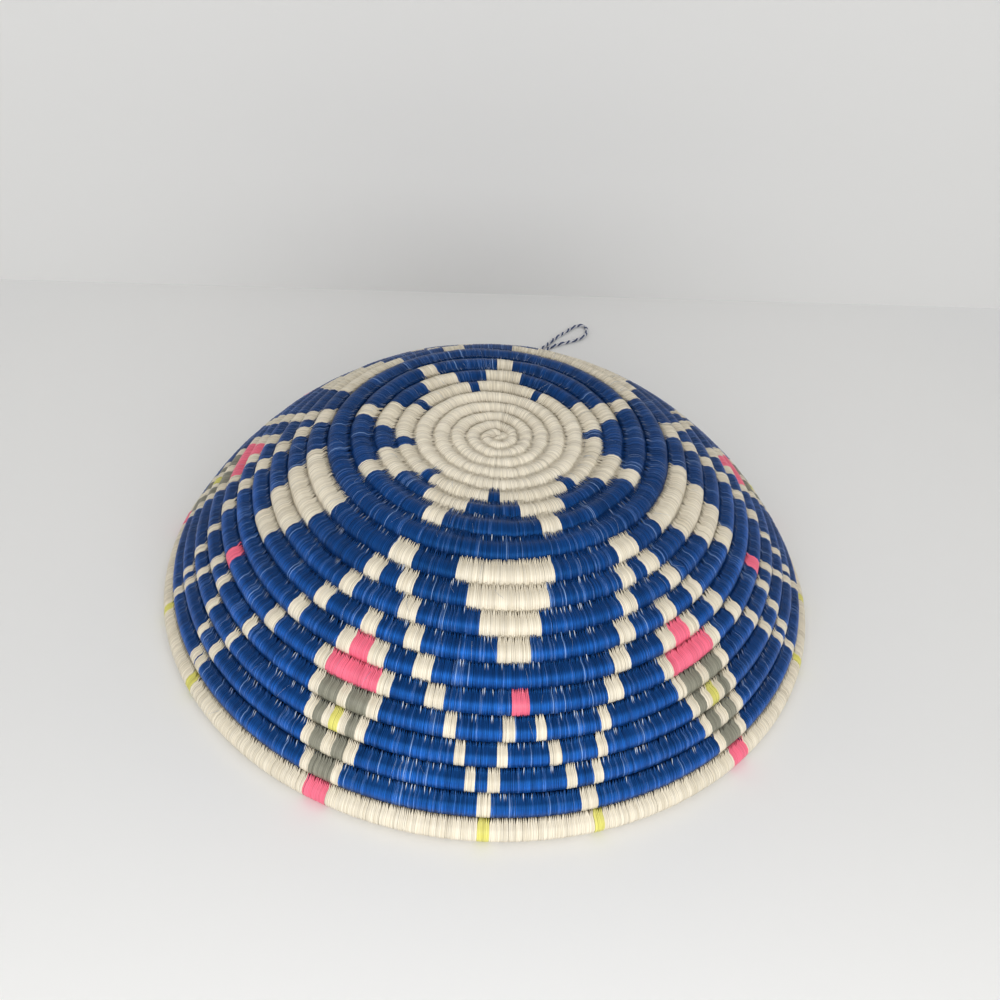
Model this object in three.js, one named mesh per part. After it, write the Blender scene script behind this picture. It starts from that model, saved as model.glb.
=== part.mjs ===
// A coiled basket bowl, set down on its rim with its base up.
// One core of grass winds from the centre of the base to the rim. A sleeve of fibre wraps each turn of it.
// A hanging loop of twisted cord leaves a knot at the back of the rim and lies on the table.
// Millimetres, +Z up. The origin is the centre of the rim, on the table. Azimuth 0 is the front, -Y.
import * as THREE from "three";

// Coil
const ROWS = 20; // turns of the coil from the centre to the rim
const START_PITCH = 5.4; // spacing of the turns at the centre
const FULL_PITCH = 10.1; // spacing of the turns on the wall
const FULL_ROW = 8.5; // turn at which the coil has grown to its full thickness
const FIRST_TURN = 0.5; // turn at which the coil starts, beside the centre
const TAIL_LEAST = 0.4; // thickness left at the rim's end, as a share of the full coil

// Wall, as a section through the middle of the coil
const BASE_FLAT_RADIUS = 54;
const SHOULDER_RADIUS = 48;
const SHOULDER_ANGLE = THREE.MathUtils.degToRad(31.5);
const WALL_RADIUS = 190;

// Fibre sleeve and core
const BORE_SHARE = 0.78; // of the coil's thickness, left for the core inside the sleeve
const CORE_CLEARANCE = 0.3; // between the core and the sleeve around it
const ROW_CLEARANCE = 0.3; // between neighbouring turns, and between the sleeves end to end
const WRAP_SIDES = 8;
const CORE_SIDES = 6;
const PLAIN_ROWS = 5; // undyed turns around the centre
const COARSE_ROWS = 5; // small turns near the centre, with fewer steps
const COARSE_STEPS = 12;
const FINE_STEPS = 24;

// Knot at the centre of the base
const CENTRE_KNOT_SHARE = 0.4; // of the room that the first turn leaves around the centre

// Hanging loop
const LOOP_AZIMUTH = THREE.MathUtils.degToRad(180);
const CORD_DIAMETER = 2.0;
const CORD_SIDES = 8;
const CORD_STEPS = 48;
const LOOP_KNOT_RADIUS = 1.9;
const LOOP_KNOT_LENGTH = 6.4;
const LOOP_CLEARANCE = 0.3; // knot to rim, and cord to knot
// Route of the cord on the table, measured from the knot: along the rim, then away from the bowl.
const LOOP_ROUTE = [
  [-1.25, 6],
  [0, 12.4],
  [3.15, 19.4],
  [7.5, 26.6],
  [12.3, 34.2],
  [16.9, 41.8],
  [21.1, 49.2],
  [24.9, 55.6],
  [30, 63.6],
  [35.6, 71],
  [40, 76.8],
  [44.2, 80.2],
  [47.8, 80],
  [49.4, 75.2],
  [48.2, 69.4],
  [44.8, 65.2],
  [40.6, 62],
  [36, 59.2],
  [31.4, 56.4],
  [27.2, 53.2],
  [23.3, 48],
  [19.1, 40.6],
  [14.5, 33],
  [9.7, 25.4],
  [5.4, 18.2],
  [2.4, 11.6],
  [1.25, 6],
];

const FIBRE_CREAM = 0xe6dcc3;
const FIBRE_BLUE = 0x12448f;
const GRASS = 0xb59a63;
const CORD_BLUE = 0x5d6f9d;

const TURN = 2 * Math.PI;
const FOOT_TURN = Math.PI / 4; // turn of the sleeve's section at the rim, which lays one of its sides on the table

// Spacing of the turns at a row, and the length of the section from the centre to it.
const GROWTH = (FULL_PITCH - START_PITCH) / FULL_ROW;
const pitchAt = (row) => Math.min(START_PITCH + GROWTH * row, FULL_PITCH);
function lengthAt(row) {
  const grown = Math.min(row, FULL_ROW);
  return START_PITCH * grown + (GROWTH * grown * grown) / 2 + FULL_PITCH * Math.max(row - FULL_ROW, 0);
}

// Radius, drop below the base and slope of the wall's section at a length from the centre.
function wallAt(length) {
  const shoulder = SHOULDER_RADIUS * SHOULDER_ANGLE;
  const onFlat = Math.min(length, BASE_FLAT_RADIUS);
  const turned = Math.min(Math.max(length - BASE_FLAT_RADIUS, 0), shoulder) / SHOULDER_RADIUS;
  const slope = turned + Math.max(length - BASE_FLAT_RADIUS - shoulder, 0) / WALL_RADIUS;
  const wallSine = Math.sin(slope) - Math.sin(turned);
  const wallCosine = Math.cos(turned) - Math.cos(slope);
  return {
    radius: onFlat + SHOULDER_RADIUS * Math.sin(turned) + WALL_RADIUS * wallSine,
    drop: SHOULDER_RADIUS * (1 - Math.cos(turned)) + WALL_RADIUS * wallCosine,
    slope,
  };
}

// The turn of the sleeve's section and half its thickness, at a row.
const RIM = wallAt(lengthAt(ROWS));
const sectionTurn = (slope) => (slope * FOOT_TURN) / RIM.slope;
function halfThickness(row) {
  const slope = wallAt(lengthAt(row)).slope;
  return (pitchAt(row) * Math.cos(slope - sectionTurn(slope)) - ROW_CLEARANCE) / 2;
}
const RIM_HALF = halfThickness(ROWS);

// The coil at a number of turns. Each turn is level across the front half and climbs a row across the back half.
// In its last half turn the coil keeps to the rim's lower edge and thins, and the turn above climbs into its place.
function coilAt(turns) {
  const whole = Math.round(turns);
  const past = turns - whole; // -0.5 at the back, 0 at the front, 0.5 at the back again
  const azimuth = TURN * past;
  const thinned = Math.max(2 * (turns - ROWS) - 0.5, 0);
  if (thinned > 0) {
    const half = RIM_HALF * (1 - thinned);
    return { azimuth, radius: RIM.radius + RIM_HALF - half, height: half, turn: FOOT_TURN, half };
  }
  const row = whole + Math.sign(past) * Math.max(2 * Math.abs(past) - 0.5, 0);
  const wall = wallAt(lengthAt(row));
  const height = RIM_HALF + RIM.drop - wall.drop;
  return { azimuth, radius: wall.radius, height, turn: sectionTurn(wall.slope), half: halfThickness(row) };
}
const LAST_TURN = ROWS + 0.25 + (1 - TAIL_LEAST) / 2;
const boreHalf = (place) => place.half * BORE_SHARE;
const coreHalf = (place) => boreHalf(place) - CORE_CLEARANCE;

// Corners of a section across the coil, with the given number of sides and half thickness to its flats.
function sectionCorners(place, sides, half) {
  const reach = half / Math.cos(Math.PI / sides);
  return Array.from({ length: sides }, (_, i) => {
    const angle = (TURN * (i + 0.5)) / sides - place.turn;
    const radius = place.radius + reach * Math.cos(angle);
    const height = place.height + reach * Math.sin(angle);
    return new THREE.Vector3(radius * Math.sin(place.azimuth), -radius * Math.cos(place.azimuth), height);
  });
}

// Numbers of turns at which sections stand between two ends, on the steps that every row shares.
function stationsBetween(first, last) {
  const stations = [first];
  let next = first;
  while (next < last) {
    const steps = Math.round(next) <= COARSE_ROWS ? COARSE_STEPS : FINE_STEPS;
    next = (Math.floor(next * steps + 1e-6) + 1) / steps;
    if (next < last - 0.2 / steps) {
      stations.push(next);
    }
  }
  stations.push(last);
  return stations;
}

// Triangles of the skin along a list of sections, facing out of the tube.
function skin(sections) {
  const triangles = [];
  for (let k = 0; k + 1 < sections.length; k += 1) {
    const here = sections[k];
    const next = sections[k + 1];
    here.forEach((corner, i) => {
      const j = (i + 1) % here.length;
      triangles.push([corner, next[i], here[j]], [here[j], next[i], next[j]]);
    });
  }
  return triangles;
}
const turnedOver = (triangles) => triangles.map(([a, b, c]) => [a, c, b]);

// Triangles across the end of a tube, facing back along it. The bore is left open.
function endFace(place, outer, bore) {
  const across = new THREE.Vector3(Math.sin(place.azimuth), -Math.cos(place.azimuth), 0);
  const flatten = (corners) => corners.map((corner) => new THREE.Vector2(corner.dot(across), corner.z));
  const corners = [...outer, ...bore];
  const flat = flatten(corners);
  const holes = bore.length > 0 ? [flatten(bore)] : [];
  return THREE.ShapeUtils.triangulateShape(flatten(outer), holes).map(([a, b, c]) => {
    const rises = flat[b].clone().sub(flat[a]).cross(flat[c].clone().sub(flat[a])) > 0;
    return rises ? [corners[a], corners[b], corners[c]] : [corners[a], corners[c], corners[b]];
  });
}

function solid(triangles) {
  const geometry = new THREE.BufferGeometry().setFromPoints(triangles.flat());
  geometry.computeVertexNormals();
  return geometry;
}

// The sleeve on the coil between two numbers of turns, with its bore.
function sleeve(first, last) {
  const places = stationsBetween(first, last).map(coilAt);
  const outer = places.map((place) => sectionCorners(place, WRAP_SIDES, place.half));
  const bore = places.map((place) => sectionCorners(place, CORE_SIDES, boreHalf(place)));
  return solid([
    ...skin(outer),
    ...turnedOver(skin(bore)),
    ...endFace(places[0], outer[0], bore[0]),
    ...turnedOver(endFace(places.at(-1), outer.at(-1), bore.at(-1))),
  ]);
}

// The core as one unbroken tube.
function core(first, last) {
  const places = stationsBetween(first, last).map(coilAt);
  const sections = places.map((place) => sectionCorners(place, CORE_SIDES, coreHalf(place)));
  return solid([
    ...skin(sections),
    ...endFace(places[0], sections[0], []),
    ...turnedOver(endFace(places.at(-1), sections.at(-1), [])),
  ]);
}

// Least gap between turns of the core, measured on points of neighbouring turns.
function leastCoreGap(first, last) {
  let least = Infinity;
  for (let turns = first; turns + 1 <= last; turns += 1 / (4 * FINE_STEPS)) {
    const inner = coilAt(turns);
    const outer = coilAt(turns + 1);
    const apart = Math.hypot(outer.radius - inner.radius, outer.height - inner.height);
    const reach = (coreHalf(inner) + coreHalf(outer)) / Math.cos(Math.PI / CORE_SIDES);
    least = Math.min(least, apart - reach);
  }
  return least;
}

const fibre = (color) => new THREE.MeshStandardMaterial({ color, roughness: 0.85, metalness: 0 });
const cream = fibre(FIBRE_CREAM);
const blue = fibre(FIBRE_BLUE);
const grass = fibre(GRASS);
const twistedCord = fibre(CORD_BLUE);

function piece(name, geometry, material) {
  const mesh = new THREE.Mesh(geometry, material);
  mesh.name = name;
  return mesh;
}

const bowl = new THREE.Group();

// Core and sleeves
const endRoom = (turns) => ROW_CLEARANCE / 2 / (TURN * coilAt(turns).radius);
const CORE_FIRST = FIRST_TURN + 2 * endRoom(FIRST_TURN);
const CORE_LAST = LAST_TURN - 2 * endRoom(LAST_TURN);
bowl.add(piece("core_coil", core(CORE_FIRST, CORE_LAST), grass));
console.log(`core_coil least gap to itself: ${leastCoreGap(CORE_FIRST, CORE_LAST).toFixed(2)} mm`);

for (let row = 1; row <= ROWS; row += 1) {
  const first = row - 0.5;
  const last = row === ROWS ? LAST_TURN : row + 0.5;
  const isRim = row === ROWS;
  const isPlain = row <= PLAIN_ROWS;
  const name = isRim ? "rim_wrap" : `row_${String(row).padStart(2, "0")}_wrap`;
  const ends = [first + endRoom(first), last - endRoom(last)];
  bowl.add(piece(name, sleeve(...ends), isRim || isPlain ? cream : blue));
}

// Knot in the room that the first turn leaves around the centre
const firstTurn = coilAt(1);
const centreRoom = firstTurn.radius - firstTurn.half;
const knotRadius = CENTRE_KNOT_SHARE * centreRoom;
const centreKnot = piece("centre_knot", new THREE.CapsuleGeometry(knotRadius, 2 * knotRadius, 4, 10), cream);
centreKnot.rotation.x = Math.PI / 2;
centreKnot.position.set(0.5 * centreRoom, -0.15 * centreRoom, firstTurn.height);
bowl.add(centreKnot);

// Hanging loop, in a frame at the knot: x along the rim, y away from the bowl, z up from the table
const atKnot = new THREE.Group();
atKnot.rotation.z = LOOP_AZIMUTH - Math.PI;
const rimAtKnot = coilAt(ROWS + LOOP_AZIMUTH / TURN);
const knotReach = rimAtKnot.radius + rimAtKnot.half + LOOP_CLEARANCE + LOOP_KNOT_RADIUS;
atKnot.position.set(knotReach * Math.sin(LOOP_AZIMUTH), -knotReach * Math.cos(LOOP_AZIMUTH), 0);
bowl.add(atKnot);

const knotProfile = [
  [0, -0.5],
  [0.62, -0.5],
  [0.9, -0.36],
  [1, -0.14],
  [1, 0.14],
  [0.9, 0.36],
  [0.62, 0.5],
  [0, 0.5],
].map(([across, along]) => new THREE.Vector2(across * LOOP_KNOT_RADIUS, along * LOOP_KNOT_LENGTH));
const loopKnot = piece("loop_knot", new THREE.LatheGeometry(knotProfile, 12), twistedCord);
loopKnot.rotation.z = Math.PI / 2;
loopKnot.position.z = LOOP_KNOT_RADIUS;
atKnot.add(loopKnot);

const cordSection = new THREE.Shape(
  Array.from({ length: CORD_SIDES }, (_, i) => {
    const angle = (TURN * i) / CORD_SIDES;
    return new THREE.Vector2(Math.cos(angle), Math.sin(angle)).multiplyScalar(CORD_DIAMETER / 2);
  }),
);
const cordReach = LOOP_KNOT_RADIUS + LOOP_CLEARANCE;
const [entryX] = LOOP_ROUTE[0];
const [exitX] = LOOP_ROUTE.at(-1);
const cordHeight = CORD_DIAMETER / 2 + 0.02;
const cordPoints = [[entryX, cordReach], ...LOOP_ROUTE, [exitX, cordReach]].map(
  ([along, away]) => new THREE.Vector3(along, away, cordHeight),
);
const cordGeometry = new THREE.ExtrudeGeometry(cordSection, {
  steps: CORD_STEPS,
  bevelEnabled: false,
  extrudePath: new THREE.CatmullRomCurve3(cordPoints),
});
atKnot.add(piece("hanging_loop", cordGeometry, twistedCord));

export default bowl;
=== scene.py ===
"""A coiled basket bowl, set down on its rim, dressed over its CAD frame.

Every stitch of the wrap is a curved band of fibre that goes round the coil and bites into the row before.
Sizes in the values below are millimetres and degrees unless they say otherwise. The model is in metres.
"""

import math

import bmesh
import bpy
import numpy as np
from mathutils import Matrix, Vector


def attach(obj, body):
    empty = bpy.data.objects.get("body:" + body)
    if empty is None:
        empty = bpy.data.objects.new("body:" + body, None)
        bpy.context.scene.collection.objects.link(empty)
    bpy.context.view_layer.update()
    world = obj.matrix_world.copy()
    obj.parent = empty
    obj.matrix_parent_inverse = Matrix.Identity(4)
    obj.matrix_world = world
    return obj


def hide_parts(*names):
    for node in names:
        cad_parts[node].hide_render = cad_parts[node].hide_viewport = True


MM = 0.001
TURN = 2 * math.pi

# The coil, as the CAD part winds it
ROWS = 20
START_PITCH = 5.4
FULL_PITCH = 10.1
FULL_ROW = 8.5  # the row in which the coil reaches its full thickness
FIRST_TURN = 0.5
LEVEL_TURN = 0.25  # a row keeps its radius for this part of a turn on each side of its middle
TAIL_LEAST = 0.4  # thickness at the coil's end, as a share of the rim's
BASE_FLAT_RADIUS = 54.0
SHOULDER_RADIUS = 48.0
SHOULDER_ANGLE = math.radians(31.5)
WALL_RADIUS = 190.0
ROW_CLEARANCE = 0.3
FOOT_TURN = math.pi / 4
LAST_TURN = ROWS + LEVEL_TURN + (1 - TAIL_LEAST) / 2
GROWTH = (FULL_PITCH - START_PITCH) / FULL_ROW

# Slow ups and downs, which no hand keeps out: the size of each wave, its rate for a turn and its start
THICK_WAVES = ((0.012, 21.3, 0.4), (0.008, 70.7, 2.0))  # shares of the coil's thickness
RISE_WAVES = ((0.2, 33.1, 1.1), (0.1, 103.9, 0.0))
TIP_TURNS = 0.02  # the coil's pointed end, in turns
TIP_LEAST = 0.1

# The stitches
WRAP_SEED = 4100
STITCH_PITCH = 0.68
STITCH_STATIONS = 15
STITCH_CROWN = 0.08
STITCH_EDGE = -0.06
STITCH_WIDTH = 1.12  # in pitches, so that neighbours overlap
STITCH_ENDS = (0.25, 0.36, 0.6, 0.86)  # widths of the stations next to an end, as shares
STITCH_WAIST = 0.84  # width at the middle of a stitch, as a share
COIL_FULLNESS = 1.04  # outside of the wrap, as a share of the CAD sleeve's half thickness
LEAN = 0.4  # of a pitch, from one bite to the next
ROUND_STATION = 3  # the first station that lies on the coil
STITCH_ANGLES = (40, 64, 90, 117, 146, 180, 216, 252, 288, 320)  # round the coil, from the row before
STITCH_UNSHADED = (0.2, 0.8, 0.74, 0.78, 0.92, 1, 1, 0.94, 0.6, 0.85, 1, 1, 0.9, 0.8, 0.2)  # painted shade round a stitch: 1 is unshaded, darker towards the bites and at the seam under the row
STITCH_DRIFT = (1, 1, 0.5, 0.1, 0, 0, 0, 0, 0, 0, 0, 0, 0.1, 1, 1)  # share of a bite's sideways drift
BITE_OUT = (1.14, 1.31)  # how far an outer bite reaches, least and most, in shares of the coil's radius
BITE_IN = (1.05, 1.2)
BITE_LIFT = 0.02
BITE_SINK = (0.07, 0.22)  # a stitch's end goes this far on past its bite, and this far in
BITE_FACE = (0.2, 0.98)
WIDTH_SPREAD = 0.11
WIDTH_LIMITS = (0.8, 1.4)
SHIFT_SPREAD = 0.07
DRIFT_SPREAD = 0.22
LIFT_SPREAD = 0.045
STITCH_LOWEST = 0.03

# The wrap's lower layer
LINER_DEPTH = 0.3  # it lies this far under the outside of the stitches
LINER_SIDES = 10
LINER_END = 0.02
LINER_BANDS = 7  # rings before its grain repeats
# painted shade on the wrap's lower layer: its unshaded value
LINER_SHADE = 0.25
LINER_LOWEST = 0.12

# The coil's start: its fold across the middle of the base, from the axis and the height of the first row
START_SEED = 77
START_FOLD = (
    (-0.6, 3.0, -0.1),
    (1.5, 2.7, 0.2),
    (2.6, 1.6, 0.5),
    (1.2, 0.5, 0.7),
    (-0.7, -0.4, 0.6),
    (-2.2, -1.1, 0.2),
    (-2.8, -0.3, -0.6),
)
START_STEP = 0.3
START_SIDES = 16
START_RADIUS = 2.1
START_TAPER = 0.8
START_TIP = (0.95, 0.85, 0.6, 0.05)  # shares of the radius, at the last stations
START_BAND = 3  # stations in one band of its wrap
START_CROWN = 0.07
START_GROOVE = -0.04
# painted shade in the fold's grooves: their unshaded value
START_SHADE = 0.8

# Loose fibre ends. Pairs are the least and the most.
STRAY_SEED = 905
STRAY_COUNT = 170
STRAY_STATIONS = 7
STRAY_SIDES = 3
STRAY_TURNS = (5.6, 19.9)  # where on the coil they stand
STRAY_START = (25, 50)  # where round the coil one starts, from the row before
STRAY_SWEEP = (40, 110)
STRAY_RISE = (0, 0.7)
STRAY_DRIFT = (-3.5, 3.5)
STRAY_BEND = (0.8, 2)
STRAY_RADIUS = (0.05, 0.08)
STRAY_THIN = 0.4  # the tip's share of the radius
STRAY_HOVER = 0.12
STRAY_LOWEST = 0.15

# The grass bundle
GRASS_SHARE = 0.78  # of the sleeve's half thickness
GRASS_GAP = 0.35
GRASS_STEPS = 72  # for each turn
GRASS_SIDES = 14
GRASS_LOBES = 7
GRASS_LOBE = 0.06
GRASS_SETBACK = (0.02, 0.01)  # turns left free at its start and end
GRASS_REPEAT = 9  # of its grain, for each turn

# The hanging loop
CORD_DIAMETER = 2.0
CORD_TWIST = 5.4
CORD_SLACK = (0.7, 0.83)  # the lay's unevenness along the cord, and its rate for a millimetre
CORD_STEP = 0.45
CORD_LIFT = 0.02
CORD_LOWEST = 0.01
CORD_REPEAT = 60  # length of cord to which the yarn's grain is scaled
PLY_SHARE = 0.27  # a ply's radius, as a share of the cord's diameter
PLY_SIDES = 7
LOOP_KNOT_RADIUS = 1.9
LOOP_CLEARANCE = 0.3
LOOP_ROUTE = [
    (-1.25, 6),
    (0, 12.4),
    (3.15, 19.4),
    (7.5, 26.6),
    (12.3, 34.2),
    (16.9, 41.8),
    (21.1, 49.2),
    (24.9, 55.6),
    (30, 63.6),
    (35.6, 71),
    (40, 76.8),
    (44.2, 80.2),
    (47.8, 80),
    (49.4, 75.2),
    (48.2, 69.4),
    (44.8, 65.2),
    (40.6, 62),
    (36, 59.2),
    (31.4, 56.4),
    (27.2, 53.2),
    (23.3, 48),
    (19.1, 40.6),
    (14.5, 33),
    (9.7, 25.4),
    (5.4, 18.2),
    (2.4, 11.6),
    (1.25, 6),
]
KNOT_TURNS = 3.1
KNOT_LENGTH = 4.7
KNOT_POINTS = 64
KNOT_WIND = 0.95  # radius of the cord's turns round the knot's middle
TIE_START = ((2.5, -0.1, 2.85), (3.3, -0.9, 3.6))  # each tie leaves the knot here, out from its middle
TIE_BITE = ((3.5, 152.9, 4.9), (3.4, 151.2, 6.1), (3.2, 148.6, 5.9))  # and goes into the rim here

# Dyes, as linear colours: the lit fibre, the furrows between its strands, and the painted shade deep in a
# seam
DYES = {
    "base": ((0.93, 0.86, 0.715), (0.81, 0.73, 0.57), (0.60, 0.52, 0.385)),
    "cream": ((0.89, 0.82, 0.675), (0.72, 0.635, 0.475), (0.42, 0.355, 0.24)),
    "blue": ((0.006, 0.052, 0.22), (0.003, 0.019, 0.09), (0.002, 0.008, 0.04)),
    "pink": ((0.98, 0.185, 0.295), (0.93, 0.14, 0.23), (0.78, 0.09, 0.15)),
    "grey": ((0.30, 0.295, 0.23), (0.19, 0.185, 0.14), (0.08, 0.08, 0.06)),
    "yellow": ((0.80, 0.76, 0.19), (0.66, 0.60, 0.11), (0.38, 0.33, 0.06)),
}
DYE_ORDER = list(DYES)
GROUND_DYE = DYE_ORDER.index("blue")  # the undyed ones come before it
# the loose fibres' colours, made pale partly as a painted highlight of their sheen
LOOSE_FIBRE = ((0.42, 0.50, 0.62), (0.16, 0.24, 0.42), (0.05, 0.1, 0.2))
PALE_GLINT = (0.42, 0.60, 0.90)
# the colour of the painted glints at the bites
BITE_GLINT = (0.86, 0.91, 0.97)
BLUE_SHEEN = (0.06, 0.34, 1.0)
WHITE_SHEEN = (1, 1, 1)
BLUE_GLOSS = 0.75
PLAIN_GLOSS = 0.42
BLUE_PLY = ((0.05, 0.08, 0.20), (0.012, 0.018, 0.06))
WHITE_PLY = ((0.76, 0.77, 0.80), (0.46, 0.47, 0.52))
GRASS_STEM = (0.50, 0.38, 0.17)
GRASS_FURROW = (0.19, 0.13, 0.05)

# Where the fibre changes, each as the middle of a soft step and half of the step's width
BAND_EDGE = (0.38, 0.12)  # from the band's middle, in widths; past it, painted shade darkens the band's edge
BAND_MIDDLE = (0.2, 0.1)
CREST_HIGHLIGHT_START = (0.342, 0.058)  # along a stitch, from its outer bite: the start and end of a painted highlight on a row's crest
CREST_HIGHLIGHT_END = (0.432, 0.037)
BITE_START = (0.06, 0.02)
BITE_END = (0.2, 0.06)
GLINTING = (0.84, 0.05)  # above this, a band's own value makes it glint
# above this, a band's own value gives it a painted glint streak down its middle
GLINT_STREAKED = (0.982, 0.004)
BITE_GLINTING = (0.89, 0.02)
HIGHLIGHT_BELOW = (0.07, 0.012)  # metres over the floor; rows below this get the painted highlight on their crests
GLINT_FADE = (-0.03, 0.04)  # metres back from the bowl's axis, past which the painted glints at the bites show less

# Motifs, in degrees of azimuth. Hand work doesn't keep them evenly apart.
PLAIN_ROWS = 5
STAR_ROWS = 3
PATTERN_STEP = 122.0  # past this azimuth, the pattern is one row nearer to the centre
STAR_NOTCHES = (-0.5, 45.5, 97, 154, 200.5, 244, 284, 319)
STAR_TIPS = (22.5, 68.5, 118.5, 180, 218.5, 260.5, 299.5, 337.5)
STAR_NOTCH = 3.3  # half of the blue notch between two petals, in the petals' first row
STAR_PETAL = 10.2  # half of a petal in its second row
STAR_TIP = 3.8  # half of a petal in its third row
# Each flower's axis at the rim, its lean for each row, half of its triangle and the step of that
FLOWERS = (
    (11.0, 0.6, 13.8, 3.4),
    (80.6, 0.84, 14.4, 3.8),
    (150.0, 0.0, 28.0, 8.5),
    (233.5, 0.0, 14.0, 3.4),
    (294.8, 0.15, 14.0, 3.2),
)
# The axis at the rim and the lean of the jewel to the left of each flower
JEWELS = ((-24.4, 0.05), (47.7, 0.5), (112.0, 0.65), (200.0, 0.0), (263.0, 0.1))
TRIANGLE_ROW = 10
TRIANGLE_ROWS = 4
PINK_ROW = 15
PINK_HALF = 3.4  # half of the pink square's length along its row, in millimetres
FOOT_ROW = 19
SPLIT_ROW = 16  # from here down, the flower has legs of its own between the tent's
LEG_HALF = 3.5  # half of a tent's leg, along its row in millimetres
THIN_LEG_HALF = 2.15  # the same below the pink square
INNER_LEG = (2.8, 1.73)  # the flower's own leg: degrees from its axis, and the step for each row
TENT_FOOT = (0.245, 0.05)  # a leg's share of the way to the jewel, in the foot row, and the step of that
TENT_WALL = (0.395, 0.095)  # the same from the split row up
JEWEL = {
    13: [("cream", 1.9)],
    14: [("pink", 2.1), ("cream", 5.4)],
    15: [("pink", 5.7), ("cream", 8.2)],
    16: [("cream", 1.0), ("grey", 5.0), ("cream", 7.2)],
    17: [("yellow", 1.0), ("cream", 2.3), ("grey", 4.2), ("cream", 6.0)],
    18: [("cream", 1.0), ("grey", 3.2), ("cream", 5.1)],
    19: [("grey", 2.0), ("cream", 3.6)],
    20: [("pink", 1.9)],
}

# The photograph's camera: place in metres, angles in radians, focal length in pixels
PHOTO_WIDTH = 1000
CAMERA_PLACE = (0.0, -0.44746, 0.42667)
CAMERA_FOCUS = 1268.0
CAMERA_TURN = 0.0061
CAMERA_DROP = 0.6989
CAMERA_ROLL = 0.0832
CAMERA_SENSOR = 36.0
CAMERA_NEAR = 0.01

# The stage, in metres
FLOOR_SIDE = 12
FLOOR_DROP = 0.0002  # below the rim, so that the two don't share a plane
FLOOR_COLOUR = (0.86, 0.86, 0.855)
FLOOR_PAINTED_LIGHT = (0.975, 0.975, 0.97)
FLOOR_PAINTED_LIGHT_STEP = (-0.204, 0.132)  # the soft step in Y to the floor's painted light, which makes it paler towards the viewer
FLOOR_FAR = (0.396, 0.096)  # the soft step away from the bowl to an evenly pale floor
FAR_PALE = (0.62, 0.62, 0.615, 1)
WALL_SIZE = (6, 1.2)
WALL_AWAY = 0.2676
WALL_TURN = math.radians(5.6)
WALL_COLOUR = (0.735, 0.735, 0.73)
LAMP_PLACE = (0.08, -0.85, 0.42)
LAMP_AIM = (0, 0, 0.05)
LAMP_SIZE = (1.15, 0.6)
LAMP_POWER = 5.7
ROOM_COLOUR = (1.0, 0.99, 0.97, 1)
ROOM_LIGHT = 0.59


# The coil


def pitch_at(row):
    return np.minimum(START_PITCH + GROWTH * row, FULL_PITCH)


def length_at(row):
    """Length along the wall, from the centre to the middle of a row."""
    grown = np.minimum(row, FULL_ROW)
    return START_PITCH * grown + GROWTH * grown**2 / 2 + FULL_PITCH * np.maximum(row - FULL_ROW, 0)


def wall_at(length):
    """Radius, drop below the base and slope of the wall at a length from the centre."""
    shoulder = SHOULDER_RADIUS * SHOULDER_ANGLE
    turned = np.clip(length - BASE_FLAT_RADIUS, 0, shoulder) / SHOULDER_RADIUS
    slope = turned + np.maximum(length - BASE_FLAT_RADIUS - shoulder, 0) / WALL_RADIUS
    radius = np.minimum(length, BASE_FLAT_RADIUS) + SHOULDER_RADIUS * np.sin(turned)
    radius = radius + WALL_RADIUS * (np.sin(slope) - np.sin(turned))
    drop = SHOULDER_RADIUS * (1 - np.cos(turned)) + WALL_RADIUS * (np.cos(turned) - np.cos(slope))
    return radius, drop, slope


RIM_RADIUS, RIM_DROP, RIM_SLOPE = wall_at(length_at(float(ROWS)))


def half_at(row):
    """Half of the wrapped coil's thickness."""
    slope = wall_at(length_at(row))[2]
    facing = np.cos(slope * (1 - FOOT_TURN / RIM_SLOPE))
    return (pitch_at(row) * facing - ROW_CLEARANCE) / 2


RIM_HALF = half_at(float(ROWS))


def coil_at(turns):
    """Azimuth, radius, height, slope and half thickness of the coil, at an array of numbers of turns."""
    turns = np.asarray(turns, float)
    whole = np.round(turns)
    past = turns - whole
    row = whole + np.sign(past) * np.maximum(2 * (np.abs(past) - LEVEL_TURN), 0)
    radius, drop, slope = wall_at(length_at(row))
    height = RIM_HALF + RIM_DROP - drop
    half = half_at(row)
    thinned = np.maximum(2 * (turns - ROWS - LEVEL_TURN), 0)
    tail = thinned > 0
    thin_half = RIM_HALF * (1 - thinned)
    radius = np.where(tail, RIM_RADIUS + RIM_HALF - thin_half, radius)
    height = np.where(tail, thin_half, height)
    slope = np.where(tail, RIM_SLOPE, slope)
    half = np.where(tail, thin_half, half)
    return TURN * past, radius, height, slope, half


def waves(level, terms, turns):
    return sum((size * np.sin(rate * turns + start) for size, rate, start in terms), level)


def swell_at(turns):
    """The coil's slow swelling, as a share of its thickness, with its thin end, and its slow rise."""
    thick = waves(1, THICK_WAVES, turns)
    thick = thick * np.sqrt(np.clip((LAST_TURN - turns) / TIP_TURNS, TIP_LEAST, 1))
    return thick, waves(0, RISE_WAVES, turns)


def on_coil(radius, height, azimuth):
    return np.stack([radius * np.sin(azimuth), -radius * np.cos(azimuth), height], -1)


def beside_coil(radius, height, azimuth, slope, before, out):
    """Points at a distance from the coil's middle towards the row before, and out of the bowl."""
    return on_coil(
        radius - before * np.cos(slope) + out * np.sin(slope),
        height + before * np.sin(slope) + out * np.cos(slope),
        azimuth,
    )


def coil_rings(radius, height, azimuth, thick, sides):
    """Rings of points round the coil's middle. thick is a column, or a row for each ring."""
    around = TURN * np.arange(sides) / sides
    points = on_coil(
        radius[:, None] + thick * np.cos(around),
        height[:, None] + thick * np.sin(around),
        azimuth[:, None],
    )
    return points.reshape(-1, 3)


# The pattern


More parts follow.
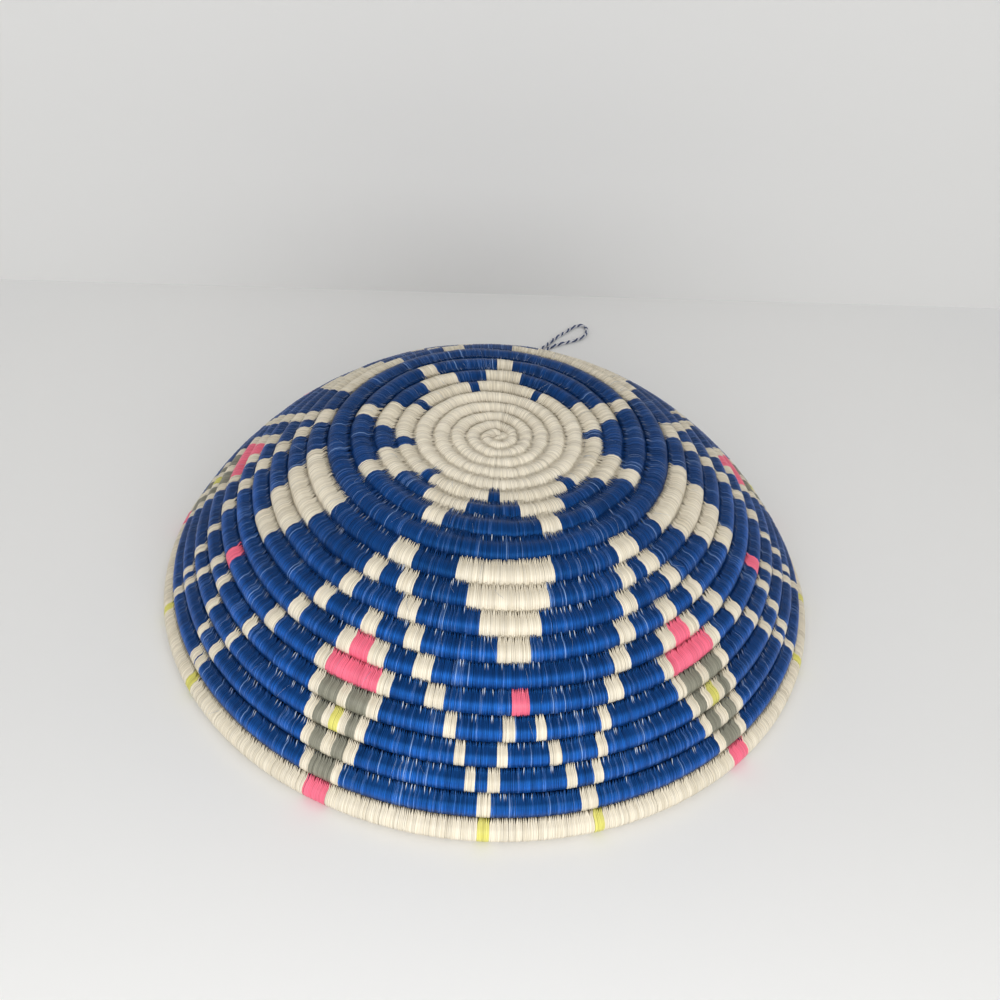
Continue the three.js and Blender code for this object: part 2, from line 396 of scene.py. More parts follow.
def apart(azimuth, middle):
    """Degrees from a middle to an azimuth, the short way round."""
    return (azimuth - middle + 180) % 360 - 180


def nearest(azimuth, middles):
    return min(abs(apart(azimuth, middle)) for middle in middles)


def flower_axis(flower, row):
    axis, lean = FLOWERS[flower][:2]
    return axis - lean * (ROWS - row)


def jewel_axis(jewel, row):
    axis, lean = JEWELS[jewel % len(JEWELS)]
    return axis - lean * (ROWS - row)


def tent_share(row):
    """How far a tent's leg stands from the flower's axis towards the jewel's, from its foot to its peak."""
    if row >= SPLIT_ROW:
        return TENT_FOOT[0] + TENT_FOOT[1] * (FOOT_ROW - min(row, FOOT_ROW))
    return min(TENT_WALL[0] + TENT_WALL[1] * (SPLIT_ROW - row), 1)


def star_dye(row, azimuth):
    if row == PLAIN_ROWS + 1:
        return "blue" if nearest(azimuth, STAR_NOTCHES) < STAR_NOTCH else "cream"
    half = STAR_PETAL if row == PLAIN_ROWS + 2 else STAR_TIP
    return "cream" if nearest(azimuth, STAR_TIPS) < half else "blue"


def jewel_dye(jewel, row, azimuth):
    from_axis = abs(apart(azimuth, jewel_axis(jewel, row)))
    for dye, reach in JEWEL.get(row, []):
        if from_axis < reach:
            return dye
    return None


def flower_dye(flower, row, azimuth, degree):
    """Dye of a flower and of the tent's legs beside it. degree is one degree's length along the row."""
    axis = flower_axis(flower, row)
    across = apart(azimuth, axis)
    triangle = FLOWERS[flower][2] - FLOWERS[flower][3] * (row - TRIANGLE_ROW)
    if row < TRIANGLE_ROW + TRIANGLE_ROWS and abs(across) < triangle:
        return "cream"
    if row == PINK_ROW and abs(across) < PINK_HALF / degree:
        return "pink"
    leg = (THIN_LEG_HALF if row > PINK_ROW else LEG_HALF) / degree
    inner = INNER_LEG[0] + INNER_LEG[1] * (row - SPLIT_ROW)
    if PINK_ROW < row <= FOOT_ROW and abs(abs(across) - inner) < leg:
        return "cream"
    for jewel in (flower, flower + 1):
        foot = tent_share(row) * apart(jewel_axis(jewel, row), axis)
        if abs(across - foot) < leg:
            return "yellow" if row == ROWS else "cream"
    return None


def dye_at(row, azimuth, degree):
    if azimuth > PATTERN_STEP:
        row = min(row + 1, ROWS)
    if row <= PLAIN_ROWS:
        return "base"
    if row <= PLAIN_ROWS + STAR_ROWS:
        return star_dye(row, azimuth)
    if row < TRIANGLE_ROW:
        return "blue"
    found = [jewel_dye(number, row, azimuth) for number in range(len(JEWELS))]
    found += [flower_dye(number, row, azimuth, degree) for number in range(len(FLOWERS))]
    found += ["cream" if row == ROWS else "blue"]
    return next(dye for dye in found if dye)


# Materials


class Tint:
    """A socket in a material. Sums and products of tints add Math nodes to its tree."""

    def __init__(self, tree, socket=None):
        self.tree = tree
        self.socket = socket

    def node(self, kind, settings=None, inputs=None, output=0):
        """One output of a new node, made with its settings and with the values or tints of its inputs."""
        made = self.tree.nodes.new(kind)
        for name, value in (settings or {}).items():
            setattr(made, name, value)
        for name, value in (inputs or {}).items():
            if isinstance(value, Tint):
                self.tree.links.new(value.socket, made.inputs[name])
            else:
                made.inputs[name].default_value = value
        return Tint(self.tree, made.outputs[output] if len(made.outputs) else None)

    def math(self, operation, left, right=0.0):
        return self.node("ShaderNodeMath", {"operation": operation}, {0: left, 1: right})

    def mix(self, factor, first, second, blend="MIX"):
        settings = {"data_type": "RGBA", "blend_type": blend}
        return self.node("ShaderNodeMix", settings, {0: factor, 6: first, 7: second}, 2)

    def axis(self, number):
        """One of a vector's three numbers."""
        return self.node("ShaderNodeSeparateXYZ", None, {0: self}, number)

    def above(self, middle, soft):
        """0 below a value, 1 above it, with a soft step between."""
        settings = {"interpolation_type": "SMOOTHSTEP"}
        return self.node("ShaderNodeMapRange", settings, {0: self, 1: middle - soft, 2: middle + soft})

    def __add__(self, other):
        return self.math("ADD", self, other)

    def __radd__(self, other):
        return self.math("ADD", other, self)

    def __sub__(self, other):
        return self.math("SUBTRACT", self, other)

    def __rsub__(self, other):
        return self.math("SUBTRACT", other, self)

    def __mul__(self, other):
        return self.math("MULTIPLY", self, other)

    def __rmul__(self, other):
        return self.math("MULTIPLY", other, self)


def rgba(colour):
    return (*colour, 1.0)


def blank_material(name):
    material = bpy.data.materials.new(name)
    material.use_nodes = True
    material.node_tree.nodes.clear()
    return material, Tint(material.node_tree)


def finish_material(tint, **inputs):
    named = {name.replace("_", " "): value for name, value in inputs.items()}
    shader = tint.node("ShaderNodeBsdfPrincipled", None, named)
    tint.node("ShaderNodeOutputMaterial", None, {"Surface": shader})


def band_place(tint):
    """A point's place across and along its band, ply or bundle."""
    place = tint.node("ShaderNodeUVMap", {"uv_map": "stitch"})
    return place.axis(0), place.axis(1)


def grain(tint, detail, *place):
    """Noise at a place of two or three numbers."""
    vector = tint.node("ShaderNodeCombineXYZ", None, dict(enumerate(place)))
    return tint.node("ShaderNodeTexNoise", None, {"Vector": vector, "Scale": 1.0, "Detail": detail})


def raised(tint, height, strength, distance):
    return tint.node("ShaderNodeBump", None, {"Strength": strength, "Distance": distance, "Height": height})


def fibre_material(name, lit, furrow, seam_shade, glint, sheen=WHITE_SHEEN, gloss=PLAIN_GLOSS, mottled_with_painted_light=False):
    """Leaf fibre, wound in bands. Fine strands run along each band, and no two bands take the dye alike.

    Painted shade darkens each point by its unshaded value, and each band towards its edges.
    A mottled dye is uneven, with a painted highlight on the crests of the lower rows,
    and painted glints in some of its bites, fewer round the sides and back.
    """
    material, tint = blank_material(name)
    across, along = band_place(tint)
    own = tint.node("ShaderNodeAttribute", {"attribute_name": "own"}, None, "Fac")
    unshaded = tint.node("ShaderNodeAttribute", {"attribute_name": "unshaded"}, None, "Fac")
    strands = grain(tint, 1.0, across * 3.4, along * 1.6, own * 83.0)
    fine = grain(tint, 1.0, across * 9.0, along * 6.0, own * 41.0)
    relief = strands * 0.6 + fine * 0.4
    off_middle = tint.math("ABSOLUTE", across - 0.5)
    edge = off_middle.above(*BAND_EDGE)
    middle = 1 - off_middle.above(*BAND_MIDDLE)
    uneven, edge_shade = (0.56, 0.62) if mottled_with_painted_light else (0.22, 0.25)
    colour = tint.mix(relief.above(0.47, 0.13), rgba(furrow), rgba(lit))
    # painted shade: each band is darkened towards its edges, where it meets its neighbours
    colour = tint.mix(1.0, colour, (1 - uneven / 2 + own * uneven) * (1 - edge * edge_shade), "MULTIPLY")
    shine = own.above(*GLINTING) * fine.above(0.55, 0.05)
    if mottled_with_painted_light:
        spot = tint.node("ShaderNodeTexCoord", None, None, "Object")
        patch = tint.node("ShaderNodeTexNoise", None, {"Vector": spot, "Scale": 30.0, "Detail": 1.0})
        # painted highlight: the crests of the lower rows are paler; the noise patches are the dye's own
        # mottling
        low = 1 - spot.axis(2).above(*HIGHLIGHT_BELOW)
        crest = along.above(*CREST_HIGHLIGHT_START) - along.above(*CREST_HIGHLIGHT_END) * 0.7
        mottle_and_highlight = (0.6 + patch * 0.8) * (0.95 + crest * low * 1.35)
        colour = tint.mix(1.0, colour, mottle_and_highlight, "MULTIPLY")
        shine = shine * (0.7 + 0.6 * patch.above(0.5, 0.06)) + own.above(*GLINT_STREAKED) * middle * 2
    colour = tint.mix(shine * 0.2, colour, rgba(glint))
    # painted shade: each point mixes towards the dye's seam shade as its unshaded value falls
    colour = tint.mix(unshaded, rgba(seam_shade), colour)
    if mottled_with_painted_light:
        # painted glints: a few bites are mixed towards a near-white colour, fewer round the sides and back,
        # away from the lamp
        bite = along.above(*BITE_START) - along.above(*BITE_END)
        glinting_bite = tint.math("FRACT", own * 13.7).above(*BITE_GLINTING)
        around = (spot.axis(1) + tint.math("ABSOLUTE", spot.axis(0)) * 0.8).above(*GLINT_FADE)
        colour = tint.mix(bite * middle * glinting_bite * (0.75 - around * 0.5), colour, rgba(BITE_GLINT))
    finish_material(
        tint,
        Base_Color=colour,
        Roughness=0.46 - relief * 0.24,
        Normal=raised(tint, relief, 0.6, 0.00015),
        Specular_IOR_Level=gloss,
        Specular_Tint=rgba(sheen),
    )
    return material


def cord_material(name, lit, furrow):
    """A ply of the hanging cord, with its yarn's fine twist."""
    material, tint = blank_material(name)
    across, along = band_place(tint)
    yarn = grain(tint, 2.0, across * 9.0 + along * 60.0, along * 6.0)
    finish_material(
        tint,
        Base_Color=tint.mix(yarn.above(0.45, 0.18), rgba(furrow), rgba(lit)),
        Roughness=0.85 - yarn * 0.2,
        Normal=raised(tint, yarn, 0.5, 0.0002),
        Sheen_Weight=0.2,
    )
    return material


def grass_material(name):
    """Dry grass stems, packed in a bundle."""
    material, tint = blank_material(name)
    across, along = band_place(tint)
    stems = grain(tint, 3.0, across * 40.0, along * 3.0)
    finish_material(
        tint,
        Base_Color=tint.mix(stems.above(0.48, 0.2), rgba(GRASS_FURROW), rgba(GRASS_STEM)),
        Roughness=0.8 - stems * 0.2,
        Normal=raised(tint, stems, 0.6, 0.0004),
    )
    return material


fibres = {dye: fibre_material(f"{dye}_fibre", *DYES[dye], DYES[dye][0]) for dye in DYES if dye != "blue"}
fibres["blue"] = fibre_material("blue_fibre", *DYES["blue"], PALE_GLINT, BLUE_SHEEN, BLUE_GLOSS, True)


# Meshes


def build_mesh(name, points, faces, uv, own=None, unshaded=None, dyes=None):
    """A smooth mesh from arrays: points in millimetres, quads, and each point's UV, own value and unshaded
    value, which sets its painted shade.
    """
    mesh = bpy.data.meshes.new(name)
    mesh.from_pydata(np.asarray(points) * MM, [], faces)
    corner = np.zeros(len(mesh.loops), np.int32)
    mesh.loops.foreach_get("vertex_index", corner)
    mesh.uv_layers.new(name="stitch").data.foreach_set("uv", np.asarray(uv, np.float32)[corner].ravel())
    for label, values in (("own", own), ("unshaded", unshaded)):
        if values is not None:
            layer = mesh.attributes.new(label, "FLOAT", "POINT")
            layer.data.foreach_set("value", np.asarray(values, np.float32))
    if dyes is not None:
        mesh.polygons.foreach_set("material_index", np.asarray(dyes, np.int32))
    mesh.polygons.foreach_set("use_smooth", np.ones(len(mesh.polygons), bool))
    mesh.update()
    return mesh


def place_piece(name, mesh, materials, body, nodes):
    """Puts a finished mesh in the scene as a piece on a body, in place of its CAD nodes."""
    piece = bpy.data.objects.new(name, mesh)
    bpy.context.scene.collection.objects.link(piece)
    for material in materials:
        mesh.materials.append(material)
    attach(piece, body)
    if nodes:
        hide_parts(*nodes)
    return piece


def gone_along(route):
    """How far each point of a route is from its first, along it."""
    return np.concatenate([[0], np.cumsum(np.linalg.norm(np.diff(route, axis=0), axis=1))])


def smooth_route(points, step):
    """Points close together on a smooth curve through the given points."""
    points = np.asarray(points, float)
    padded = np.concatenate([2 * points[:1] - points[1:2], points, 2 * points[-1:] - points[-2:-1]])
    t = np.linspace(0, 1, 24, endpoint=False)[:, None]
    fine = []
    for i in range(1, len(padded) - 2):
        before, start, end, after = padded[i - 1 : i + 3]
        square = (2 * before - 5 * start + 4 * end - after) * t**2
        cube = (3 * start - before - 3 * end + after) * t**3
        fine.append(0.5 * (2 * start + (end - before) * t + square + cube))
    fine = np.concatenate([*fine, points[-1:]])
    gone = gone_along(fine)
    stations = np.linspace(0, gone[-1], max(int(round(gone[-1] / step)), 2) + 1)
    return np.stack([np.interp(stations, gone, fine[:, axis]) for axis in range(3)], 1)


def route_sides(route):
    """Unit vectors across a route and upward from it, at each of its points."""
    forward = np.gradient(route, axis=0)
    forward /= np.linalg.norm(forward, axis=1)[:, None]
    across = np.cross(forward, (0.31, 0.11, 0.95))  # a direction that no route here takes
    across /= np.linalg.norm(across, axis=1)[:, None]
    return across, np.cross(across, forward)


def ring_quads(rings, sides, turned=False):
    """Quads between rings of points, one after the other. turned makes them face the other way."""
    at = np.arange(rings - 1)[:, None] * sides
    side = np.arange(sides)[None]
    after = (side + 1) % sides
    quads = np.stack([at + side, at + after, at + sides + after, at + sides + side], -1).reshape(-1, 4)
    return quads[:, [0, 3, 2, 1]] if turned else quads


def ring_uv(along, sides):
    """UVs for rings of points: once round each ring, and the ring's own place along."""
    return np.stack([np.tile(np.arange(sides) / sides, len(along)), np.repeat(along, sides)], 1)


def tube(path, radii, sides):
    """Points and quads of a round tube along a path, with a radius at each of its points."""
    across, upward = route_sides(path)
    around = (TURN * np.arange(sides) / sides)[None, :, None]
    ring = across[:, None] * np.cos(around) + upward[:, None] * np.sin(around)
    points = path[:, None] + np.asarray(radii)[:, None, None] * ring
    return points.reshape(-1, 3), ring_quads(len(path), sides)


# The wrap


def model_stitch():
    """One flat stitch, modelled: x runs across it, y along it, z is its crown."""
    bpy.ops.object.select_all(action="DESELECT")
    bpy.ops.mesh.primitive_grid_add(x_subdivisions=2, y_subdivisions=STITCH_STATIONS - 1, size=2)
    stitch = bpy.context.object
    bpy.ops.object.mode_set(mode="EDIT")
    shape = bmesh.from_edit_mesh(stitch.data)

    def choose(test):
        bpy.ops.mesh.select_all(action="DESELECT")
        for vertex in shape.verts:
            vertex.select_set(test(vertex.co))
        shape.select_flush_mode()
        bmesh.update_edit_mesh(stitch.data)

    def draw_in(place, width):
        choose(lambda co: abs(abs(co.y) - place) < 0.01)
        bpy.ops.transform.resize(value=(width, 1, 1))

    choose(lambda co: abs(co.x) < 0.5)
    bpy.ops.transform.translate(value=(0, 0, STITCH_CROWN))
    choose(lambda co: abs(co.x) > 0.5)
    bpy.ops.transform.translate(value=(0, 0, STITCH_EDGE))
    step = 2 / (STITCH_STATIONS - 1)
    for number, width in enumerate(STITCH_ENDS):
        draw_in(1 - number * step, width)
    draw_in(0, STITCH_WAIST)
    bpy.ops.object.mode_set(mode="OBJECT")
    mesh = stitch.data
    points = np.array([tuple(vertex.co) for vertex in mesh.vertices])
    faces = np.array([tuple(face.vertices) for face in mesh.polygons])
    bpy.data.objects.remove(stitch)
    bpy.data.meshes.remove(mesh)
    return points, faces


STITCH_POINTS, STITCH_FACES = model_stitch()


def stitch_path(reach_out, reach_in):
    """Stations of stitches round the coil, and the way they face, for arrays of how far their bites reach.

    A station is given in shares of the coil's radius: towards the row before, and out of the bowl. The two
    bites lie on that row, one outside the bowl and one inside it.
    """
    angles = np.radians(STITCH_ANGLES)
    ring = np.stack([np.cos(angles), np.sin(angles)], 1)
    on_ring = slice(ROUND_STATION, ROUND_STATION + len(ring))
    stations = np.zeros((len(reach_out), STITCH_STATIONS, 2))
    normals = np.zeros_like(stations)
    stations[:, on_ring] = ring
    normals[:, on_ring] = ring
    end = STITCH_STATIONS - 1
    for bite, sunk, reach, side in ((1, 0, reach_out, 1), (end - 1, end, reach_in, -1)):
        up = np.sqrt(1 - (2 - reach) ** 2) + BITE_LIFT
        stations[:, bite] = np.stack([reach, side * up], 1)
        stations[:, sunk] = stations[:, bite] + np.array([BITE_SINK[0], -BITE_SINK[1] * side])
        normals[:, bite] = normals[:, sunk] = (BITE_FACE[0], BITE_FACE[1] * side)
    stations[:, 2] = (stations[:, 1] + stations[:, 3]) / 2
    normals[:, 2] = normals[:, 3]
    return stations, normals


def wrap_liner(row, first, last, count):
    """The wrap's lower layer, a tube under the stitches, with a ring for every second stitch."""
    turns = np.linspace(first, last, count // 2 + 1)
    azimuth, radius, height, slope, half = coil_at(np.clip(turns, first + 1e-6, last - 1e-6))
    thick, rise = swell_at(turns)
    body = half * COIL_FULLNESS * thick - LINER_DEPTH
    if row == ROWS:
        body[-1] = LINER_END
    else:
        height = height + rise
    points = coil_rings(radius, height, azimuth, body[:, None], LINER_SIDES)
    if row >= ROWS - 1:
        points[:, 2] = np.maximum(points[:, 2], LINER_LOWEST)
    uv = ring_uv(np.arange(len(turns)) % LINER_BANDS / LINER_BANDS, LINER_SIDES)[:, ::-1]
    return points, ring_quads(len(turns), LINER_SIDES, turned=True), uv


def wrap_row(row):
    """All the stitches of one row, with the wrap's lower layer under them. Faces take dyes by number."""
    rng = np.random.default_rng(WRAP_SEED + row)
    first = row - 0.5
    last = LAST_TURN if row == ROWS else row + 0.5
    middle_radius = float(coil_at(float(row))[1])
    run = TURN * middle_radius * (last - first)
    count = int(round(run / STITCH_PITCH))
    wide = run / count
    turns = first + (np.arange(count) + 0.5) / count * (last - first)
    azimuth, radius, height, slope, half = coil_at(turns)
    thick, rise = swell_at(turns)
    body = half * COIL_FULLNESS * thick
    if row < ROWS:
        height = height + rise

    stations, normals = stitch_path(rng.uniform(*BITE_OUT, count), rng.uniform(*BITE_IN, count))
    station = np.round((STITCH_POINTS[:, 1] + 1) / 2 * (STITCH_STATIONS - 1)).astype(int)
    along = station / (STITCH_STATIONS - 1)
    widths = rng.normal(STITCH_WIDTH, WIDTH_SPREAD, count).clip(*WIDTH_LIMITS)
    shifts = rng.normal(0, SHIFT_SPREAD, count)
    drifts = rng.normal(0, DRIFT_SPREAD, count)[:, None] * np.array(STITCH_DRIFT)[station]
    offset = STITCH_POINTS[:, 0] / 2 * widths[:, None] + shifts[:, None] + drifts + LEAN * (along - 0.5)
    lift = STITCH_POINTS[:, 2] + rng.normal(0, LIFT_SPREAD, count)[:, None]
    points = beside_coil(
        radius[:, None],
        height[:, None],
        azimuth[:, None] + offset * wide / radius[:, None],
        slope[:, None],
        stations[:, station, 0] * body[:, None] + lift * normals[:, station, 0],
        stations[:, station, 1] * body[:, None] + lift * normals[:, station, 1],
    ).reshape(-1, 3)
    if row >= ROWS - 1:
        points[:, 2] = np.maximum(points[:, 2], STITCH_LOWEST)
    each = len(STITCH_POINTS)
    faces = (STITCH_FACES[None] + each * np.arange(count)[:, None, None]).reshape(-1, 4)
    uv = np.tile(np.stack([(STITCH_POINTS[:, 0] + 1) / 2, along], 1), (count, 1))
    own = np.repeat(rng.uniform(0, 1, count), each)
    # painted shade round each stitch, station by station
    unshaded = np.tile(np.array(STITCH_UNSHADED)[station], count)

    degree = math.radians(1) * middle_radius
    places = np.degrees(azimuth + shifts * wide / radius)
    dyes = np.array([DYE_ORDER.index(dye_at(row, place, degree)) for place in places])
    pairs = np.stack([dyes[: count - 1 : 2], dyes[1::2]], 1)
    mixed = (pairs[:, 0] != pairs[:, 1]) & (pairs.max(axis=1) >= GROUND_DYE)
    liner_dyes = np.where(mixed, GROUND_DYE, pairs[:, 0])
    liner_points, liner_faces, liner_uv = wrap_liner(row, first, last, count)
    # painted shade on the lower layer, whose value also serves as its own value
    hidden = np.full(len(liner_points), LINER_SHADE)
    return build_mesh(
        f"row_{row:02d}",
        np.concatenate([points, liner_points]),
        np.concatenate([faces, liner_faces + len(points)]),
        np.concatenate([uv, liner_uv]),
        np.concatenate([own, hidden]),
        np.concatenate([unshaded, hidden]),
        np.concatenate([np.repeat(dyes, len(STITCH_FACES)), np.repeat(liner_dyes, LINER_SIDES)]),
    )


def coil_start():
    """The coil's start, which turns in from the first row and folds back across its middle."""
    rng = np.random.default_rng(START_SEED)
    top = RIM_HALF + RIM_DROP
    path = smooth_route([(x, y, top + z) for x, y, z in START_FOLD], START_STEP)
    in_band = np.arange(len(path)) % START_BAND
    crown = in_band == START_BAND // 2
    radii = START_RADIUS - START_TAPER * np.linspace(0, 1, len(path))
    radii[-len(START_TIP) :] *= START_TIP
    radii = radii + np.where(crown, START_CROWN, START_GROOVE)
    points, faces = tube(path, radii, START_SIDES)
    band = np.repeat(rng.uniform(0, 1, len(path) // START_BAND + 1), START_BAND)[: len(path)]
    uv = ring_uv(in_band / (START_BAND - 1), START_SIDES)[:, ::-1]
    # painted shade in the grooves between the fold's bands; none on their crowns
    unshaded = np.repeat(np.where(crown, 1.0, START_SHADE), START_SIDES)
    return build_mesh("coil_start", points, faces, uv, np.repeat(band, START_SIDES), unshaded)


def stray_fibres():
    """Loose ends of fibre that stand up a little from the wrap."""
    rng = np.random.default_rng(STRAY_SEED)
    share = np.linspace(0, 1, STRAY_STATIONS)
    each = STRAY_STATIONS * STRAY_SIDES
    points, faces = [], []
    for number in range(STRAY_COUNT):
        azimuth, radius, height, slope, half = map(float, coil_at(rng.uniform(*STRAY_TURNS)))
        sweep = np.radians(rng.uniform(*STRAY_START) + rng.uniform(*STRAY_SWEEP) * share)
        hover = half * COIL_FULLNESS + STRAY_HOVER + rng.uniform(*STRAY_RISE) * share**2
        drift = rng.uniform(*STRAY_DRIFT) * share ** rng.uniform(*STRAY_BEND)
        place = azimuth + drift / radius
        path = beside_coil(radius, height, place, slope, np.cos(sweep) * hover, np.sin(sweep) * hover)
        path[:, 2] = np.maximum(path[:, 2], STRAY_LOWEST)
        radii = rng.uniform(*STRAY_RADIUS) * np.linspace(1, STRAY_THIN, STRAY_STATIONS)
        strand, quads = tube(path, radii, STRAY_SIDES)
        points.append(strand)
        faces.append(quads + each * number)
    points = np.concatenate(points)
    uv = np.tile(ring_uv(share, STRAY_SIDES), (STRAY_COUNT, 1))
    own = np.repeat(rng.uniform(0, 1, STRAY_COUNT), each)
    return build_mesh("stray_fibres", points, np.concatenate(faces), uv, own, np.ones(len(points)))


# Cord and grass


def twisted_cord(name, routes):
    """A cord of two plies laid round each other, along each route. Each ply has its own material."""
    ply_radius = PLY_SHARE * CORD_DIAMETER
    points, faces, uv, plies = [], [], [], []
    for route in routes:
        across, upward = route_sides(route)
        gone = gone_along(route)
        uneven = CORD_SLACK[0] * np.sin(gone * CORD_SLACK[1])
        for ply in range(2):
            lay = (TURN * (gone + uneven) / CORD_TWIST + math.pi * ply)[:, None]
            aside = across * np.cos(lay) + upward * np.sin(lay)
            middle = route + (CORD_DIAMETER / 2 - ply_radius) * aside
            ply_points, ply_faces = tube(middle, np.full(len(route), ply_radius), PLY_SIDES)
            faces.append(ply_faces + sum(len(block) for block in points))
            points.append(ply_points)
            uv.append(ring_uv(gone / CORD_REPEAT, PLY_SIDES))
            plies.append(np.full(len(ply_faces), ply))
    points = np.concatenate(points)
    points[:, 2] = np.maximum(points[:, 2], CORD_LOWEST)
    return build_mesh(name, points, np.concatenate(faces), np.concatenate(uv), dyes=np.concatenate(plies))


def grass_core():
    """The bundle of grass stems inside the wrap, as one unbroken coil with a lobed section."""
    turns = np.arange(FIRST_TURN + GRASS_SETBACK[0], LAST_TURN - GRASS_SETBACK[1], 1 / GRASS_STEPS)
    azimuth, radius, height, slope, half = coil_at(turns)
    lobes = 1 + GRASS_LOBE * np.cos(GRASS_LOBES * TURN * np.arange(GRASS_SIDES) / GRASS_SIDES)
    thick = (half * GRASS_SHARE - GRASS_GAP)[:, None] * lobes
    points = coil_rings(radius, height, azimuth, thick, GRASS_SIDES)
    faces = ring_quads(len(turns), GRASS_SIDES, turned=True)
    return build_mesh("grass_core", points, faces, ring_uv(turns * GRASS_REPEAT, GRASS_SIDES))


# Camera


def photo_camera():
    forward = Vector(
        (
            math.sin(CAMERA_TURN) * math.cos(CAMERA_DROP),
            math.cos(CAMERA_TURN) * math.cos(CAMERA_DROP),
            -math.sin(CAMERA_DROP),
        )
    )
    right = forward.cross(Vector((0, 0, 1))).normalized()
    upward = right.cross(forward)
    tilted_right = math.cos(CAMERA_ROLL) * right + math.sin(CAMERA_ROLL) * upward
    tilted_up = math.cos(CAMERA_ROLL) * upward - math.sin(CAMERA_ROLL) * right
    data = bpy.data.cameras.new("photo_camera")
    data.sensor_width = CAMERA_SENSOR
    data.lens = CAMERA_SENSOR * CAMERA_FOCUS / PHOTO_WIDTH
    data.clip_start = CAMERA_NEAR
    camera = bpy.data.objects.new("photo_camera", data)
    turned = Matrix((tilted_right, tilted_up, -forward)).transposed().to_4x4()
    camera.matrix_world = Matrix.Translation(CAMERA_PLACE) @ turned
    bpy.context.scene.collection.objects.link(camera)
    bpy.context.scene.camera = camera


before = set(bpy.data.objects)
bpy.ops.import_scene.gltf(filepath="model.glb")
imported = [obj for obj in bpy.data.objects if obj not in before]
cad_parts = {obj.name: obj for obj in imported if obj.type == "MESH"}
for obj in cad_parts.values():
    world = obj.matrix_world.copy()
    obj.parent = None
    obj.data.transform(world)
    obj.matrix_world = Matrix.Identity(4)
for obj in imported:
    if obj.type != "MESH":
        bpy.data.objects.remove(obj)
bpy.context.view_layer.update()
photo_camera()

# Hanging loop and its knot

cord_plies = [cord_material("cord_blue_ply", *BLUE_PLY), cord_material("cord_white_ply", *WHITE_PLY)]
knot_away = RIM_RADIUS + RIM_HALF + LOOP_CLEARANCE + LOOP_KNOT_RADIUS
cord_away = LOOP_KNOT_RADIUS + LOOP_CLEARANCE
cord_height = CORD_DIAMETER / 2 + CORD_LIFT
route = [(LOOP_ROUTE[0][0], cord_away), *LOOP_ROUTE, (LOOP_ROUTE[-1][0], cord_away)]
loop_line = smooth_route([(x, knot_away + y, cord_height) for x, y in route], CORD_STEP)

wound = np.linspace(0, KNOT_TURNS * TURN, KNOT_POINTS)
knot_points = np.stack(
    [
        -KNOT_LENGTH / 2 + KNOT_LENGTH * wound / wound[-1],
        knot_away + KNOT_WIND * np.cos(wound),
        LOOP_KNOT_RADIUS + CORD_LIFT + KNOT_WIND * np.sin(wound),
    ],
    1,
)
tie_points = [*((x, knot_away + y, z) for x, y, z in TIE_START), *TIE_BITE]
knot_lines = [smooth_route(knot_points, CORD_STEP)]
knot_lines += [smooth_route([(side * x, y, z) for x, y, z in tie_points], CORD_STEP) for side in (-1, 1)]
knot = place_piece(
    "loop_knot_cord",
    twisted_cord("loop_knot_cord", knot_lines),
    cord_plies,
    "bowl",
    ["loop_knot"],
)
loop = place_piece(
    "hanging_loop_cord",
    twisted_cord("hanging_loop_cord", [loop_line]),
    cord_plies,
    "loop",
    ["hanging_loop"],
)

# Core and wraps

place_piece("grass_core", grass_core(), [grass_material("dry_grass")], "bowl", ["core_coil"])
for row in range(1, ROWS + 1):
    node = "rim_wrap" if row == ROWS else f"row_{row:02d}_wrap"
    place_piece(
        f"{node}_stitches",
        wrap_row(row),
        [fibres[dye] for dye in DYE_ORDER],
        "bowl",
        [node],
    )

place_piece("coil_start", coil_start(), [fibres["base"]], "bowl", ["centre_knot"])
hair = fibre_material("loose_fibre", *LOOSE_FIBRE, PALE_GLINT)
place_piece("stray_fibres", stray_fibres(), [hair], "bowl", [])

# Floor, wall and light


def seen_share(tint):
    """1 for a ray that shows the background, straight or by way of a shiny or clear surface."""
    straight = tint.node("ShaderNodeLightPath", None, None, "Is Camera Ray")
    mirrored = tint.node("ShaderNodeLightPath", None, None, "Is Glossy Ray")
    passed = tint.node("ShaderNodeLightPath", None, None, "Is Transmission Ray")
    return tint.math("MAXIMUM", straight, tint.math("MAXIMUM", mirrored, passed))


def painted(tint, colour):
    finish = {"Base Color": colour, "Roughness": 0.7, "Specular IOR Level": 0.2}
    return tint.node("ShaderNodeBsdfPrincipled", None, finish)


def floor_shader(tint):
    """A floor with painted light, paler towards the viewer, which looks evenly pale far from the bowl."""
    spot = tint.node("ShaderNodeTexCoord", None, None, "Object")
    nearer = 1 - spot.axis(1).above(*(value / FLOOR_SIDE for value in FLOOR_PAINTED_LIGHT_STEP))
    lit = painted(tint, tint.mix(nearer, rgba(FLOOR_COLOUR), rgba(FLOOR_PAINTED_LIGHT)))
    away = tint.node("ShaderNodeVectorMath", {"operation": "LENGTH"}, {0: spot}, "Value")
    far = away.above(*(value / FLOOR_SIDE for value in FLOOR_FAR)) * seen_share(tint)
    glow = tint.node("ShaderNodeEmission", None, {"Color": FAR_PALE})
    return tint.node("ShaderNodeMixShader", None, {0: far, 1: lit, 2: glow})


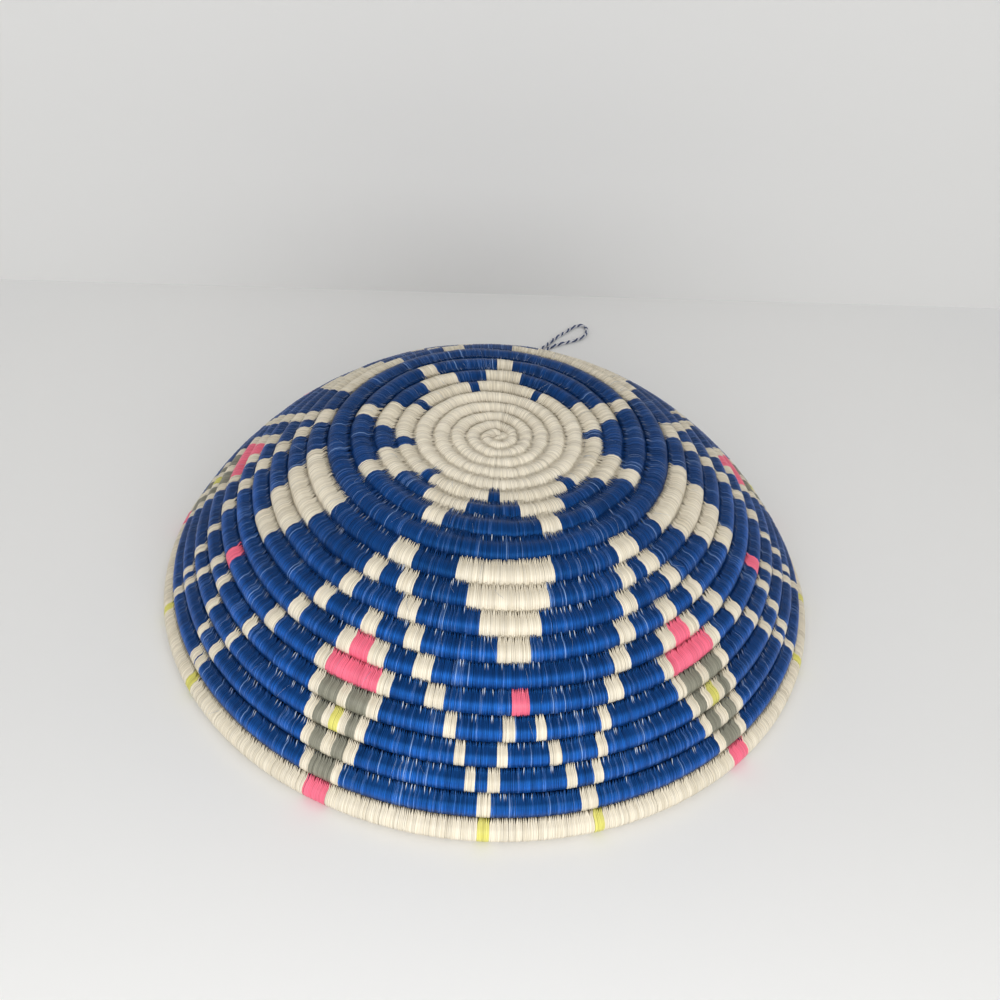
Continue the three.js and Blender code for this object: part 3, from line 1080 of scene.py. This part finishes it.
def wall_shader(tint):
    """A wall that can't be seen from behind."""
    behind = tint.node("ShaderNodeNewGeometry", None, None, "Backfacing")
    lit = painted(tint, rgba(WALL_COLOUR))
    clear = tint.node("ShaderNodeBsdfTransparent")
    return tint.node("ShaderNodeMixShader", None, {0: behind, 1: lit, 2: clear})


def stage_sheet(name, shader, size, place, turn):
    bpy.ops.object.select_all(action="DESELECT")
    bpy.ops.mesh.primitive_plane_add(size=1, location=place, rotation=turn)
    sheet = bpy.context.object
    sheet.name = name
    sheet.scale = (*size, 1)
    material, tint = blank_material(name)
    tint.node("ShaderNodeOutputMaterial", None, {"Surface": shader(tint)})
    sheet.data.materials.append(material)


def soft_lamp(name, place, aim, size, power):
    data = bpy.data.lights.new(name, "AREA")
    data.shape = "RECTANGLE"
    data.size, data.size_y = size
    data.energy = power
    lamp = bpy.data.objects.new(name, data)
    lamp.location = place
    lamp.rotation_euler = (Vector(aim) - Vector(place)).to_track_quat("-Z", "Y").to_euler()
    lamp.visible_camera = False
    bpy.context.scene.collection.objects.link(lamp)


def room_light():
    """Even light from all round, which looks pale where the camera sees past the stage."""
    world = bpy.data.worlds.new("room")
    bpy.context.scene.world = world
    world.use_nodes = True
    world.node_tree.nodes.clear()
    tint = Tint(world.node_tree)
    light = tint.node("ShaderNodeBackground", None, {"Color": ROOM_COLOUR, "Strength": ROOM_LIGHT})
    pale = tint.node("ShaderNodeBackground", None, {"Color": FAR_PALE, "Strength": 1.0})
    shown = tint.node("ShaderNodeMixShader", None, {0: seen_share(tint), 1: light, 2: pale})
    tint.node("ShaderNodeOutputWorld", None, {"Surface": shown})


stage_sheet("floor", floor_shader, (FLOOR_SIDE, FLOOR_SIDE), (0, 0, -FLOOR_DROP), (0, 0, 0))
stage_sheet("wall", wall_shader, WALL_SIZE, (0, WALL_AWAY, WALL_SIZE[1] / 2), (math.pi / 2, 0, WALL_TURN))
soft_lamp("window", LAMP_PLACE, LAMP_AIM, LAMP_SIZE, LAMP_POWER)
room_light()
bpy.context.scene.view_settings.view_transform = "Standard"
